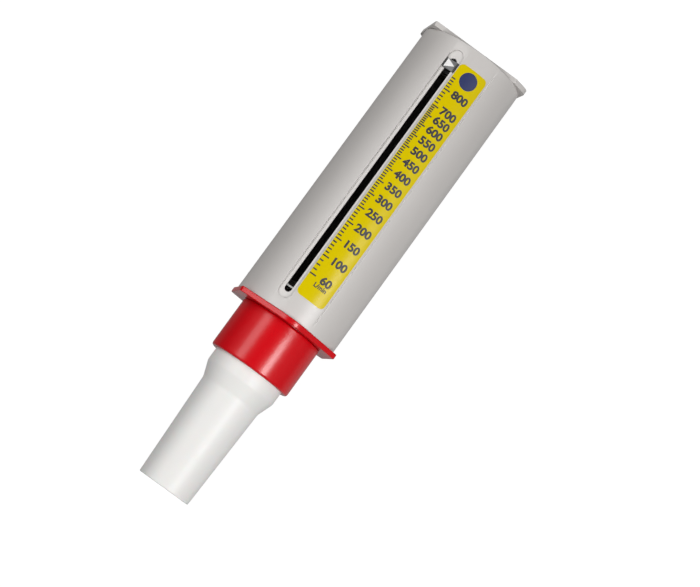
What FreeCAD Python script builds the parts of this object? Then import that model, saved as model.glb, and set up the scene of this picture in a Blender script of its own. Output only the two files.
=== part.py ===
import FreeCAD, Part
import math
import os

import Sketcher
from FreeCAD import Placement, Rotation, Vector

# Peak flow meter: a grey tube with a slot along its front, a red nozzle with a six-sided flange,
# a white mouthpiece pushed into it, and a vented cap at the far end.  Blowing drives a sprung piston
# along a rod, and the piston pushes a pointer along the slot, where friction keeps it.
#
# Each piece is drawn with the tube's axis as X, +X towards the far end, and x = 0 at the seam between
# the nozzle and the tube.  Its Placement then lays the meter on one of the flanges' flat sides.

doc = FreeCAD.newDocument("peak_flow_meter")
sizes = doc.addObject("Spreadsheet::Sheet", "Sizes")

# name, value, meaning.  Lengths in mm, angles in degrees.
VALUES = [
    ("barrel_length", 125.1, "tube from the nozzle's flange to the cap's plate"),
    ("barrel_radius", 22.25, "outside of the tube"),
    ("barrel_wall", 2.3, "wall of the tube"),
    ("slot_angle", "17.2 deg", "slot, to one side of the middle of the front"),
    ("slot_ahead", 2.3, "near end of the slot, ahead of the piston at rest"),
    ("slot_past", 3.15, "far end of the slot, past the middle of the pointer at rest"),
    ("slot_width", 3.0, "slot the pointer runs in"),
    ("track_margin", 3.2, "sunk track past each end of the slot"),
    ("track_width", 6.0, "sunk track around the slot"),
    ("track_depth", 0.9, "depth of the sunk track at its middle"),
    ("line_angle", "26 deg", "fine groove, on the other side of the front"),
    ("line_width", 0.5, "fine groove"),
    ("line_depth", 0.22, "fine groove"),
    ("label_inset", 1.8, "near end of the scale label, from the slot's"),
    ("label_past", 0.1, "far end of the scale label, past the slot's"),
    ("label_angle", "7.5 deg", "middle of the label, beside the middle of the front"),
    ("label_sweep", "32.6 deg", "label around the tube"),
    ("label_skin", 0.15, "thickness of the label"),
    ("label_corner", 2.0, "rounded corners of the label"),
    ("flange_proud", 0.1, "flat sides of the six-sided flanges, past the tube"),
    ("flange_turn", "6.5 deg", "flanges' corner, beside the middle of the front"),
    ("flange_corner", 1.6, "rounding of the flanges' corners"),
    ("rim_width", 2.1, "thickness of the nozzle's flange"),
    ("collar_length", 21.8, "nozzle below its flange"),
    ("collar_wall", 2.55, "wall of the nozzle's collar"),
    ("collar_edge", 0.5, "rounding of the collar's mouth"),
    ("fit_gap", 0.05, "radial gap of pieces that push or slide together"),
    ("seat_gap", 0.02, "radial gap of pieces fixed in each other"),
    ("spigot_length", 5.2, "nozzle inside the tube"),
    ("spigot_wall", 2.0, "wall of the nozzle inside the tube"),
    ("socket_step", 1.25, "air passage past the socket, smaller in radius than the mouthpiece"),
    ("socket_depth", 15.9, "socket for the mouthpiece"),
    ("seal_section", 0.55, "half of the seal ring's section"),
    ("mouth_radius", 15.15, "mouthpiece inside the collar"),
    ("mouth_top_gap", 0.4, "mouthpiece short of the socket's floor"),
    ("mouth_length", 70.4, "mouthpiece in all"),
    ("mouth_neck", 12.8, "top of the long taper"),
    ("lip_radius", 11.25, "outside of the mouthpiece at the lips"),
    ("mouth_wall", 1.1, "wall of the mouthpiece"),
    ("shoulder_gap", 5.3, "straight part of the mouthpiece that shows below the collar"),
    ("shoulder_length", 6.4, "mouthpiece's soft shoulder"),
    ("rod_radius", 1.2, "guide rod"),
    ("rod_past_hub", 2.0, "rod showing below the nozzle's hub"),
    ("hub_wall", 1.4, "wall of the nozzle's hub around the spring"),
    ("hub_top", 8.9, "end of the hub, where the piston rests"),
    ("hub_floor", 2.4, "floor of the hub, above the arms' lower edge"),
    ("arm_step", 1.6, "arms' lower edge, above the socket's floor"),
    ("arm_depth", 4.0, "arms along the tube"),
    ("arm_width", 1.7, "thickness of an arm"),
    ("spring_wire", 0.25, "half the thickness of the wire, which is square"),
    ("spring_turns", 6.0, "coils"),
    ("spring_side", 0.5, "coils inside the nozzle's hub"),
    ("spring_end", 0.05, "each end coil to what it rests on"),
    ("neck_wall", 0.75, "necks' wall around the piston's bush"),
    ("neck_gap", 0.25, "coils around the necks that hold them"),
    ("neck_length", 1.6, "necks inside the end coils"),
    ("washer_width", 0.5, "soft washer under the piston"),
    ("piston_step", 0.2, "piston's rim, past its lower face"),
    ("piston_rim", 0.6, "thickness of the piston's rim"),
    ("piston_gap", 0.3, "piston's rim to the tube's bore"),
    ("piston_web", 0.9, "thickness of the piston's web"),
    ("rib_edge", 0.6, "ribs' outer ends above the web, and their tops below the hub's"),
    ("rib_sink", 0.5, "ribs, bars and arms sunk in what they join"),
    ("piston_hub_wall", 1.8, "wall of the piston's hub"),
    ("piston_hub_length", 7.0, "piston's hub above its lower face"),
    ("piston_flat", 2.6, "flat edge of the piston, which pushes the pointer"),
    ("piston_rib", 0.9, "thickness of a piston rib"),
    ("piston_rib_short", 3.05, "piston ribs short of the web's edge"),
    ("bush_wall", 1.05, "wall of the piston's bush"),
    ("bush_head", 0.7, "flange of the bush"),
    ("bush_head_side", 0.1, "flange of the bush, smaller in radius than the piston's neck"),
    ("bush_tail", 0.5, "bush past its clip"),
    ("clip_width", 0.4, "spring clips"),
    ("clip_sweep", "290 deg", "clips around what they hold"),
    ("rod_clip_rim", 1.7, "the rod's clip, past the rod"),
    ("bush_clip_rim", 1.0, "the bush's clip, past the bush"),
    ("groove_depth", 0.3, "grooves that hold the clips"),
    ("stop_gap", 0.25, "piston short of the pointer, and short of the buffer"),
    ("buffer_width", 2.0, "soft ring that stops the piston"),
    ("buffer_radius", 3.6, "outside of that ring"),
    ("cap_plate", 2.0, "plate of the end cap"),
    ("cap_spigot", 6.4, "end cap inside the tube"),
    ("cap_wall", 1.8, "wall of the end cap inside the tube"),
    ("cap_floor", 1.0, "thickening of the plate inside the tube"),
    ("cap_cut", 7.75, "flat cut of the plate's front corner, below the flat sides"),
    ("cap_hub", 4.4, "end cap's hub around the rod"),
    ("vent_inner", 6.2, "vents, nearest the hub"),
    ("vent_rim", 1.3, "plate between the vents and its cut corner"),
    ("vent_bar", 1.6, "bars between the vents"),
    ("bar_depth", 1.6, "those bars below the plate, at the hub"),
    ("bar_edge", 0.2, "the same, at the outside"),
    ("nut_radius", 2.9, "push-on cap of the rod"),
    ("nut_side", 0.2, "pocket around that cap"),
    ("nut_depth", 1.7, "pocket for that cap"),
    ("nut_skin", 0.5, "end wall of that cap"),
    ("nut_sunk", 0.1, "end of that cap below the end cap's face"),
    ("pointer_length", 4.1, "pointer along the tube"),
    ("pointer_side", 0.3, "pointer to each wall of the track"),
    ("pointer_base", 0.55, "low part of the pointer, above the track's floor"),
    ("pointer_rise", 0.75, "triangle above the low part"),
    ("stem_length", 3.2, "pointer's stem along the slot"),
    ("stem_side", 0.1, "stem to each side of the slot"),
    ("stem_short", 0.2, "stem short of the keeper's inner face"),
    ("keeper_length", 6.4, "piece that holds the pointer from inside"),
    ("keeper_width", 7.0, "the same, across the slot"),
    ("keeper_height", 2.0, "the same, towards the axis"),
    ("keeper_gap", 0.75, "keeper to the tube's bore"),
    ("keeper_room", 0.95, "keeper to the end cap, at rest"),
    ("glide_gap", 0.05, "pointer above the track's floor"),
    ("triangle_side", 0.8, "pointer's triangle, in from the edge of its low part"),
    ("triangle_point", 0.25, "blunt point of the triangle"),
    ("triangle_end", 0.3, "ends of the triangle's base, in from the pointer's"),
    ("foot_end", 0.1, "ends of the triangle's foot, in from the pointer's"),
    ("foot_side", 0.25, "triangle's foot past its top, on each side"),
    ("leaf_skin", 0.16, "thickness of the friction spring"),
    ("leaf_bow", 0.26, "bow of the friction spring"),
    ("leaf_gap", 0.03, "middle of the friction spring to the keeper"),
    ("leaf_length", 5.8, "friction spring along the tube"),
    ("leaf_width", 5.2, "friction spring across the slot"),
    ("leaf_edge", 1.0, "ends of the friction spring, past its window"),
    ("pin_radius", 0.45, "pin through keeper and stem"),
    ("pin_height", 0.95, "pin above the keeper's inner face"),
    ("pin_short", 0.1, "pin short of each side of the keeper"),
    ("spare", 1.0, "cuts reach this far past what they cut"),
]

# name, formula, meaning: sizes that follow from the ones above.
FORMULAS = [
    ("bore_radius", "barrel_radius - barrel_wall", "inside of the tube"),
    ("flange_inset", "barrel_radius + flange_proud", "six-sided flanges, axis to flat side"),
    ("roll", "30 deg - flange_turn", "turn that lays the meter on a flat side"),
    ("nozzle_low", "-(collar_length + rim_width)", "mouth of the collar"),
    ("collar_radius", "mouth_radius + fit_gap + collar_wall", "outside of the collar"),
    ("passage_radius", "mouth_radius - socket_step", "air passage through the flange"),
    ("mouth_top", "nozzle_low + socket_depth - mouth_top_gap", "mouthpiece's inner end"),
    ("lip_place", "mouth_top - mouth_length", "mouthpiece's lips"),
    ("shoulder_top", "nozzle_low - shoulder_gap", "upper end of the mouthpiece's shoulder"),
    ("shoulder_low", "shoulder_top - shoulder_length", "lower end of that shoulder"),
    ("cap_end", "barrel_length + cap_plate", "far end of the meter"),
    ("middle", "-(cap_end + lip_place) / 2", "shift that puts the origin at mid-length"),
    ("spigot_radius", "bore_radius - fit_gap", "outside of the nozzle in the tube"),
    ("seal_place", "spigot_length / 2", "middle of the seal ring"),
    ("track_floor", "barrel_radius - track_depth", "height of the track's floor"),
    ("hub_low", "nozzle_low + socket_depth + arm_step", "lower end of the nozzle's hub"),
    ("hub_seat", "hub_low + hub_floor", "floor of the hub, where the spring starts"),
    ("bush_radius", "rod_bore + bush_wall", "outside of the piston's bush"),
    ("neck_radius", "bush_radius + neck_wall", "necks inside the end coils"),
    ("spring_radius", "neck_radius + neck_gap + spring_wire", "coils, axis to middle of the wire"),
    ("spring_room", "spring_radius + spring_wire + spring_side", "inside of the nozzle's hub"),
    ("hub_radius", "spring_room + hub_wall", "nozzle's hub around the spring"),
    ("piston_low", "hub_top + washer_width", "lower face of the piston's hub"),
    ("piston_place", "piston_low + piston_step", "lower face of the piston's rim, at rest"),
    ("piston_hub", "bush_radius + piston_hub_wall", "radius of the piston's hub"),
    ("piston_radius", "bore_radius - piston_gap", "piston's rim"),
    ("web_radius", "piston_radius - piston_flat", "edge of the piston's thick web"),
    ("piston_top", "piston_low + piston_hub_length", "upper face of the piston's hub"),
    ("bush_top", "piston_top + clip_width + bush_tail", "upper end of the bush"),
    ("keeper_near", "barrel_length - cap_spigot - keeper_room - keeper_length",
     "keeper's face that the piston pushes"),
    ("pointer_place", "keeper_near + keeper_length / 2", "middle of the pointer, at rest"),
    ("slot_start", "piston_place - slot_ahead", "near end of the slot"),
    ("slot_end", "pointer_place + slot_past", "far end of the slot"),
    ("label_start", "slot_start + label_inset", "near end of the scale label"),
    ("label_end", "slot_end + label_past", "far end of the scale label"),
    ("travel", "keeper_near - piston_place - piston_rim - stop_gap", "piston and pointer"),
    ("rod_bore", "rod_radius + fit_gap", "hole that slides on the rod"),
    ("buffer_place", "bush_top + travel + stop_gap", "near face of the buffer"),
    ("cap_hub_low", "buffer_place + buffer_width", "near end of the cap's hub"),
    ("rod_low", "hub_low - rod_past_hub", "near end of the rod"),
    ("nut_top", "cap_end - nut_sunk", "far face of the rod's cap"),
    ("rod_top", "nut_top - nut_skin", "far end of the rod"),
    ("keeper_top", "bore_radius - keeper_gap", "outer face of the keeper"),
    ("keeper_low", "keeper_top - keeper_height", "inner face of the keeper"),
    ("cap_front", "flange_inset - cap_cut", "height of the cut across the plate's front corner"),
    ("vent_outer", "cap_front - vent_rim", "vents, farthest from the hub"),
    ("coil_low", "hub_seat + spring_end", "near end of the spring"),
    ("coil_pitch", "(piston_low - spring_end - coil_low - 2 * spring_wire) / spring_turns",
     "coil to coil"),
    ("glide", "track_floor + glide_gap", "underside of the pointer"),
]

for row, (alias, amount, note) in enumerate(VALUES + FORMULAS, start=1):
    sizes.set("A%d" % row, alias)
    sizes.set("C%d" % row, note)
    sizes.setAlias("B%d" % row, alias)
for row, (alias, amount, note) in enumerate(VALUES, start=1):
    sizes.set("B%d" % row, "=%s" % amount)
for row, (alias, formula, note) in enumerate(FORMULAS, start=len(VALUES) + 1):
    sizes.set("B%d" % row, "=" + formula)
doc.recompute()

NAMES = {row[0] for row in VALUES + FORMULAS}
# Places and lengths that differ by less are taken as the same.
SAME = 0.001


def bind(text):
    """The formula with each size's name written as a cell of the sheet."""
    word = ""
    out = ""
    for sign in text + " ":
        if sign.isalnum() or sign == "_":
            word += sign
            continue
        out += "Sizes." + word if word in NAMES else word
        out += sign
        word = ""
    return out.strip()


def value(text):
    """What a formula comes to with the sizes as they are."""
    found = sizes.evalExpression(bind(text))
    return float(getattr(found, "Value", found))


def piece(name, turn=None):
    """A body that lies in place on the table; turn is its own turn about the tube's axis."""
    body = doc.addObject("PartDesign::Body", name)
    body.Label = name
    start = value(turn) if turn else 0.0
    body.Placement = Placement(Vector(value("middle"), 0, value("flange_inset")),
                               Rotation(Vector(1, 0, 0), start))
    body.setExpression("Placement.Base.x", bind("middle"))
    body.setExpression("Placement.Base.z", bind("flange_inset"))
    if turn:
        body.setExpression("Placement.Rotation.Angle", bind(turn))
    return body


def sketch(body, name, plane, offset=None, tilt=None):
    """A sketch on one of the body's own planes, moved along its normal and tilted about X."""
    made = body.newObject("Sketcher::SketchObject", name)
    origin = [part for part in body.Origin.OriginFeatures if part.Role == plane][0]
    made.AttachmentSupport = [(origin, "")]
    made.MapMode = "FlatFace"
    distance = value(offset) if offset else 0.0
    if tilt:
        angle = value(tilt)
        radians = math.radians(angle)
        made.AttachmentOffset = Placement(
            Vector(0, -distance * math.sin(radians), distance * math.cos(radians)),
            Rotation(Vector(1, 0, 0), angle))
        made.setExpression("AttachmentOffset.Rotation.Angle", bind(tilt))
        if offset:
            made.setExpression("AttachmentOffset.Base.y",
                               "-(%s) * sin(%s)" % (bind(offset), bind(tilt)))
            made.setExpression("AttachmentOffset.Base.z",
                               "(%s) * cos(%s)" % (bind(offset), bind(tilt)))
    elif offset:
        made.AttachmentOffset = Placement(Vector(0, 0, distance), Rotation())
        made.setExpression("AttachmentOffset.Base.z", bind(offset))
    return made


def drive(made, kind, refs, text):
    """A dimension of a sketch that follows a formula of the sizes."""
    index = made.addConstraint(Sketcher.Constraint(kind, *refs, value(text)))
    made.setExpression("Constraints[%d]" % index, bind(text))
    return index


def outline(made, corners):
    """A closed outline of straight lines through corners that follow the sizes."""
    spots = [Vector(value(across), value(up), 0) for across, up in corners]
    first = made.GeometryCount
    count = len(spots)
    for index in range(count):
        made.addGeometry(Part.LineSegment(spots[index], spots[(index + 1) % count]))
    for index in range(count):
        after = first + (index + 1) % count
        made.addConstraint(Sketcher.Constraint("Coincident", first + index, 2, after, 1))
    for index, (across, up) in enumerate(corners):
        drive(made, "DistanceX", (-1, 1, first + index, 1), across)
        drive(made, "DistanceY", (-1, 1, first + index, 1), up)


def circle(made, radius, across="0", up="0"):
    """A circle whose radius and centre follow the sizes."""
    index = made.addGeometry(Part.Circle(Vector(value(across), value(up), 0), Vector(0, 0, 1),
                                         value(radius)))
    drive(made, "Radius", (index,), radius)
    drive(made, "DistanceX", (-1, 1, index, 3), across)
    drive(made, "DistanceY", (-1, 1, index, 3), up)


def racetrack(made, start, end, width):
    """A long round-ended slot along the sketch's first axis."""
    radius = value(width) / 2
    left = value(start) + radius
    right = value(end) - radius
    normal = Vector(0, 0, 1)
    far = made.addGeometry(Part.ArcOfCircle(
        Part.Circle(Vector(right, 0, 0), normal, radius), -math.pi / 2, math.pi / 2))
    top = made.addGeometry(Part.LineSegment(Vector(right, radius, 0), Vector(left, radius, 0)))
    near = made.addGeometry(Part.ArcOfCircle(
        Part.Circle(Vector(left, 0, 0), normal, radius), math.pi / 2, 3 * math.pi / 2))
    low = made.addGeometry(Part.LineSegment(Vector(left, -radius, 0), Vector(right, -radius, 0)))
    made.addConstraint(Sketcher.Constraint("Tangent", far, 2, top, 1))
    made.addConstraint(Sketcher.Constraint("Tangent", top, 2, near, 1))
    made.addConstraint(Sketcher.Constraint("Tangent", near, 2, low, 1))
    made.addConstraint(Sketcher.Constraint("Tangent", low, 2, far, 1))
    made.addConstraint(Sketcher.Constraint("Equal", far, near))
    made.addConstraint(Sketcher.Constraint("PointOnObject", far, 3, -1))
    made.addConstraint(Sketcher.Constraint("PointOnObject", near, 3, -1))
    drive(made, "Radius", (far,), "(%s) / 2" % width)
    drive(made, "DistanceX", (-1, 1, near, 3), "(%s) + (%s) / 2" % (start, width))
    drive(made, "DistanceX", (-1, 1, far, 3), "(%s) - (%s) / 2" % (end, width))


def hexagon(made):
    """The flanges' six sides, one of them flat on the table."""
    corners = []
    for index in range(6):
        angle = 60 * index
        corners.append(("flange_inset / cos(30 deg) * cos(%d deg)" % angle,
                        "flange_inset / cos(30 deg) * sin(%d deg)" % angle))
    outline(made, corners)


def feature(body, kind, name, profile, **settings):
    """A PartDesign feature made from a sketch."""
    made = body.newObject("PartDesign::" + kind, name)
    made.Profile = profile
    for key, setting in settings.items():
        setattr(made, key, setting)
    profile.Visibility = False
    return made


def spin(body, name, corners, kind="Revolution"):
    """A turned shape: corners are (along the axis, radius)."""
    drawn = sketch(body, name + "_profile", "XZ_Plane")
    outline(drawn, corners)
    made = feature(body, kind, name, drawn, ReferenceAxis=(drawn, ["H_Axis"]), Angle=360.0)
    doc.recompute()
    return made


def pad(body, name, drawn, length, kind="Pad", reverse=False):
    """A pad or a pocket whose length follows the sizes."""
    made = feature(body, kind, name, drawn, Reversed=reverse)
    made.Length = value(length)
    made.setExpression("Length", bind(length))
    doc.recompute()
    return made


def cut_out(body, name, drawn):
    """A pocket from the sketch outwards, through everything on that side."""
    before = body.Shape.Volume
    made = feature(body, "Pocket", name, drawn, Type="ThroughAll", Reversed=True)
    doc.recompute()
    if body.Shape.Volume > before - SAME:
        raise RuntimeError("%s cuts nothing" % name)
    return made


def round_edges(body, name, radius, chosen, kind="Fillet"):
    """Rounds or bevels the edges of the body's last feature that the test chooses."""
    base = body.Tip
    edges = ["Edge%d" % (index + 1) for index, edge in enumerate(base.Shape.Edges) if chosen(edge)]
    if not edges:
        raise RuntimeError("%s finds no edge" % name)
    made = body.newObject("PartDesign::" + kind, name)
    made.Base = (base, edges)
    key = "Radius" if kind == "Fillet" else "Size"
    setattr(made, key, value(radius))
    made.setExpression(key, bind(radius))
    doc.recompute()
    return made


def ring_at(place, radius):
    """Chooses the circles round the axis at one place with one radius."""
    def chosen(edge):
        curve = edge.Curve
        return (isinstance(curve, Part.Circle) and abs(curve.Center.x - value(place)) < SAME
                and abs(curve.Radius - value(radius)) < SAME
                and math.hypot(curve.Center.y, curve.Center.z) < SAME)
    return chosen


def corner_at(start, width):
    """Chooses the flanges' corners: straight edges along the axis, outside the flat sides."""
    def chosen(edge):
        middle = edge.CenterOfMass
        return (abs(edge.Length - value(width)) < SAME
                and abs(middle.x - value(start) - value(width) / 2) < SAME
                and math.hypot(middle.y, middle.z) > value("flange_inset + spare"))
    return chosen


def polar(body, name, made, count):
    """Repeats a feature round the tube's axis."""
    pattern = body.newObject("PartDesign::PolarPattern", name)
    pattern.Originals = [made]
    axis = [part for part in body.Origin.OriginFeatures if part.Role == "X_Axis"][0]
    pattern.Axis = (axis, [""])
    pattern.Angle = 360.0
    pattern.Occurrences = count
    body.Tip = pattern
    doc.recompute()
    return pattern


# The tube.
barrel = piece("barrel", "roll")
spin(barrel, "barrel_wall_turned", [
    ("0", "bore_radius"),
    ("barrel_length", "bore_radius"),
    ("barrel_length", "barrel_radius"),
    ("0", "barrel_radius"),
])
track = sketch(barrel, "track_outline", "XY_Plane", "track_floor", "-slot_angle")
racetrack(track, "slot_start - track_margin", "slot_end + track_margin", "track_width")
cut_out(barrel, "track", track)
slot = sketch(barrel, "slot_outline", "XY_Plane", tilt="-slot_angle")
racetrack(slot, "slot_start", "slot_end", "slot_width")
cut_out(barrel, "slot", slot)
line = sketch(barrel, "line_outline", "XY_Plane", "barrel_radius - line_depth", "line_angle")
racetrack(line, "slot_start - track_margin", "slot_end + track_margin", "line_width")
cut_out(barrel, "line", line)

# The printed scale, a thin curved label on the tube.
label = piece("scale_label", "roll + label_angle")
label_profile = sketch(label, "label_profile", "XZ_Plane")
outline(label_profile, [
    ("label_start", "barrel_radius"),
    ("label_end", "barrel_radius"),
    ("label_end", "barrel_radius + label_skin"),
    ("label_start", "barrel_radius + label_skin"),
])
label_sheet = feature(label, "Revolution", "label_sheet", label_profile,
                      ReferenceAxis=(label_profile, ["H_Axis"]), Midplane=True)
label_sheet.Angle = value("label_sweep")
label_sheet.setExpression("Angle", bind("label_sweep"))
doc.recompute()
round_edges(label, "label_corners", "label_corner",
            lambda edge: abs(edge.Length - value("label_skin")) < SAME)

# The red nozzle: collar, six-sided flange, spigot, and the hub on four arms that carries the rod.
nozzle = piece("nozzle")
spin(nozzle, "collar_and_spigot", [
    ("nozzle_low", "mouth_radius + fit_gap"),
    ("nozzle_low + socket_depth", "mouth_radius + fit_gap"),
    ("nozzle_low + socket_depth", "passage_radius"),
    ("-rim_width / 2", "passage_radius"),
    ("-rim_width / 2", "spigot_radius - spigot_wall"),
    ("spigot_length", "spigot_radius - spigot_wall"),
    ("spigot_length", "spigot_radius"),
    ("seal_place + seal_section", "spigot_radius"),
    ("seal_place + seal_section", "spigot_radius - 2 * seal_section"),
    ("seal_place - seal_section", "spigot_radius - 2 * seal_section"),
    ("seal_place - seal_section", "spigot_radius"),
    ("0", "spigot_radius"),
    ("-rim_width", "spigot_radius"),
    ("-rim_width", "collar_radius"),
    ("nozzle_low", "collar_radius"),
])
round_edges(nozzle, "collar_mouth", "collar_edge", ring_at("nozzle_low", "collar_radius"), "Chamfer")
rim = sketch(nozzle, "rim_outline", "YZ_Plane", "-rim_width")
hexagon(rim)
circle(rim, "spigot_radius - spigot_wall / 2")
pad(nozzle, "rim", rim, "rim_width")
round_edges(nozzle, "rim_corners", "flange_corner", corner_at("-rim_width", "rim_width"))
arm = sketch(nozzle, "arm_outline", "YZ_Plane", "hub_low")
reach = "(passage_radius + spigot_wall / 2)"
inner = "hub_radius - rib_sink"
half = "arm_width / 2"
arm_corners = []
for along, beside in [(inner, "-" + half), (reach, "-" + half), (reach, half), (inner, half)]:
    arm_corners.append(("((%s) - (%s)) * cos(45 deg)" % (along, beside),
                        "((%s) + (%s)) * cos(45 deg)" % (along, beside)))
outline(arm, arm_corners)
first_arm = pad(nozzle, "arm", arm, "arm_depth")
polar(nozzle, "arms", first_arm, 4)
spin(nozzle, "hub", [
    ("hub_low", "rod_radius + seat_gap"),
    ("hub_seat + neck_length", "rod_radius + seat_gap"),
    ("hub_seat + neck_length", "neck_radius"),
    ("hub_seat", "neck_radius"),
    ("hub_seat", "spring_room"),
    ("hub_top", "spring_room"),
    ("hub_top", "hub_radius"),
    ("hub_low", "hub_radius"),
])

# The mouthpiece: a long taper, a soft shoulder and a straight part in the collar.
mouthpiece = piece("mouthpiece")
spin(mouthpiece, "mouthpiece_turned", [
    ("lip_place", "lip_radius - mouth_wall"),
    ("shoulder_low", "mouth_neck - mouth_wall"),
    ("shoulder_top", "mouth_radius - mouth_wall"),
    ("mouth_top", "mouth_radius - mouth_wall"),
    ("mouth_top", "mouth_radius"),
    ("shoulder_top", "mouth_radius"),
    ("shoulder_low", "mouth_neck"),
    ("lip_place", "lip_radius"),
])

# The grey cap at the far end: plate with a cut front corner, spigot, hub and vents.
cap = piece("end_cap")
plate = sketch(cap, "plate_outline", "YZ_Plane", "barrel_length")
hexagon(plate)
circle(plate, "vent_outer")
pad(cap, "plate", plate, "cap_plate")
round_edges(cap, "plate_corners", "flange_corner", corner_at("barrel_length", "cap_plate"))
spin(cap, "cap_spigot_turned", [
    ("barrel_length - cap_spigot", "spigot_radius - cap_wall"),
    ("barrel_length - cap_floor", "spigot_radius - cap_wall"),
    ("barrel_length - cap_floor", "vent_outer"),
    ("barrel_length + cap_plate / 2", "vent_outer"),
    ("barrel_length + cap_plate / 2", "vent_outer + rib_sink"),
    ("barrel_length", "spigot_radius"),
    ("barrel_length - cap_spigot", "spigot_radius"),
])
spin(cap, "cap_hub_turned", [
    ("cap_hub_low", "rod_radius + seat_gap"),
    ("cap_end - nut_depth", "rod_radius + seat_gap"),
    ("cap_end - nut_depth", "nut_radius + nut_side"),
    ("cap_end", "nut_radius + nut_side"),
    ("cap_end", "vent_inner"),
    ("barrel_length - cap_floor", "vent_inner"),
    ("barrel_length - cap_floor", "cap_hub"),
    ("cap_hub_low", "cap_hub"),
])
bar = sketch(cap, "bar_outline", "XZ_Plane")
outline(bar, [
    ("barrel_length - bar_depth", "cap_hub - rib_sink"),
    ("barrel_length - bar_edge", "vent_outer + rib_sink"),
    ("cap_end", "vent_outer + rib_sink"),
    ("cap_end", "cap_hub - rib_sink"),
])
first_bar = pad(cap, "bar", bar, "vent_bar")
first_bar.Midplane = True
doc.recompute()
polar(cap, "bars", first_bar, 6)
front = sketch(cap, "front_cut_outline", "XY_Plane", "cap_front", "roll")
outline(front, [
    ("barrel_length", "-2 * flange_inset"),
    ("cap_end + spare", "-2 * flange_inset"),
    ("cap_end + spare", "2 * flange_inset"),
    ("barrel_length", "2 * flange_inset"),
])
cut_out(cap, "front_cut", front)

# The guide rod, from the nozzle's hub to the cap's hub.
rod = piece("guide_rod")
spin(rod, "rod_turned", [
    ("rod_low", "0"),
    ("rod_top", "0"),
    ("rod_top", "rod_radius"),
    ("hub_low", "rod_radius"),
    ("hub_low", "rod_radius - groove_depth"),
    ("hub_low - clip_width", "rod_radius - groove_depth"),
    ("hub_low - clip_width", "rod_radius"),
    ("rod_low", "rod_radius"),
])


def ring(name, start, end, inside, outside, sweep="360 deg"):
    """A plain ring round the tube's axis, open at one side when its sweep is less than a turn."""
    body = piece(name)
    profile = sketch(body, name + "_profile", "XZ_Plane")
    outline(profile, [(start, inside), (end, inside), (end, outside), (start, outside)])
    turned = feature(body, "Revolution", name + "_turned", profile,
                     ReferenceAxis=(profile, ["H_Axis"]), Angle=value(sweep))
    turned.setExpression("Angle", bind(sweep))
    doc.recompute()
    return body


ring("rod_clip", "hub_low - clip_width", "hub_low", "rod_radius - groove_depth + seat_gap",
     "rod_radius + rod_clip_rim", "clip_sweep")
# The soft ring that seals the nozzle in the tube.
ring("nozzle_seal", "seal_place - seal_section + seat_gap", "seal_place + seal_section - seat_gap",
     "spigot_radius - 2 * seal_section + seat_gap", "bore_radius - seat_gap")
ring("rest_washer", "hub_top", "hub_top + washer_width", "spring_room", "hub_radius")
ring("buffer_ring", "buffer_place", "cap_hub_low", "rod_radius + seat_gap", "buffer_radius")

# The push-on cap that holds the rod's far end, sunk in the end cap.
nut = piece("rod_nut")
spin(nut, "rod_nut_turned", [
    ("cap_end - nut_depth", "rod_radius + seat_gap"),
    ("rod_top", "rod_radius + seat_gap"),
    ("rod_top", "0"),
    ("nut_top", "0"),
    ("nut_top", "nut_radius - nut_skin"),
    ("rod_top", "nut_radius"),
    ("cap_end - nut_depth", "nut_radius"),
])

# The spring that draws the piston back, held on the necks of the nozzle's hub and of the piston.
spring = piece("return_spring")
wire = sketch(spring, "wire_section", "XZ_Plane")
outline(wire, [
    ("coil_low", "spring_radius - spring_wire"),
    ("coil_low + 2 * spring_wire", "spring_radius - spring_wire"),
    ("coil_low + 2 * spring_wire", "spring_radius + spring_wire"),
    ("coil_low", "spring_radius + spring_wire"),
])
coils = feature(spring, "AdditiveHelix", "coils", wire, ReferenceAxis=(wire, ["H_Axis"]),
                Mode="pitch-turns-angle")
coils.Pitch = value("coil_pitch")
coils.setExpression("Pitch", bind("coil_pitch"))
coils.Turns = value("spring_turns")
coils.setExpression("Turns", bind("spring_turns"))
doc.recompute()

# The piston: a thin disc with ribs, on a bush that slides on the rod.
piston = piece("piston")
spin(piston, "piston_turned", [
    ("piston_low - neck_length", "bush_radius + seat_gap"),
    ("piston_top", "bush_radius + seat_gap"),
    ("piston_top", "piston_hub"),
    ("piston_low + piston_web", "piston_hub"),
    ("piston_low + piston_web", "web_radius"),
    ("piston_place + piston_rim", "web_radius"),
    ("piston_place + piston_rim", "piston_radius"),
    ("piston_place", "piston_radius"),
    ("piston_place", "web_radius"),
    ("piston_low", "web_radius"),
    ("piston_low", "neck_radius"),
    ("piston_low - neck_length", "neck_radius"),
])
rib = sketch(piston, "rib_outline", "XZ_Plane")
outline(rib, [
    ("piston_low + piston_web / 2", "piston_hub - rib_sink"),
    ("piston_low + piston_web / 2", "web_radius - piston_rib_short"),
    ("piston_low + piston_web + rib_edge", "web_radius - piston_rib_short"),
    ("piston_top - rib_edge", "piston_hub - rib_sink"),
])
first_rib = pad(piston, "rib", rib, "piston_rib")
first_rib.Midplane = True
doc.recompute()
polar(piston, "ribs", first_rib, 6)

bush = piece("piston_bush")
spin(bush, "bush_turned", [
    ("piston_low - neck_length - bush_head", "rod_bore"),
    ("bush_top", "rod_bore"),
    ("bush_top", "bush_radius"),
    ("piston_top + clip_width", "bush_radius"),
    ("piston_top + clip_width", "bush_radius - groove_depth"),
    ("piston_top", "bush_radius - groove_depth"),
    ("piston_top", "bush_radius"),
    ("piston_low - neck_length", "bush_radius"),
    ("piston_low - neck_length", "neck_radius - bush_head_side"),
    ("piston_low - neck_length - bush_head", "neck_radius - bush_head_side"),
])
ring("piston_clip", "piston_top", "piston_top + clip_width", "bush_radius - groove_depth + seat_gap",
     "bush_radius + bush_clip_rim", "clip_sweep")


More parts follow.
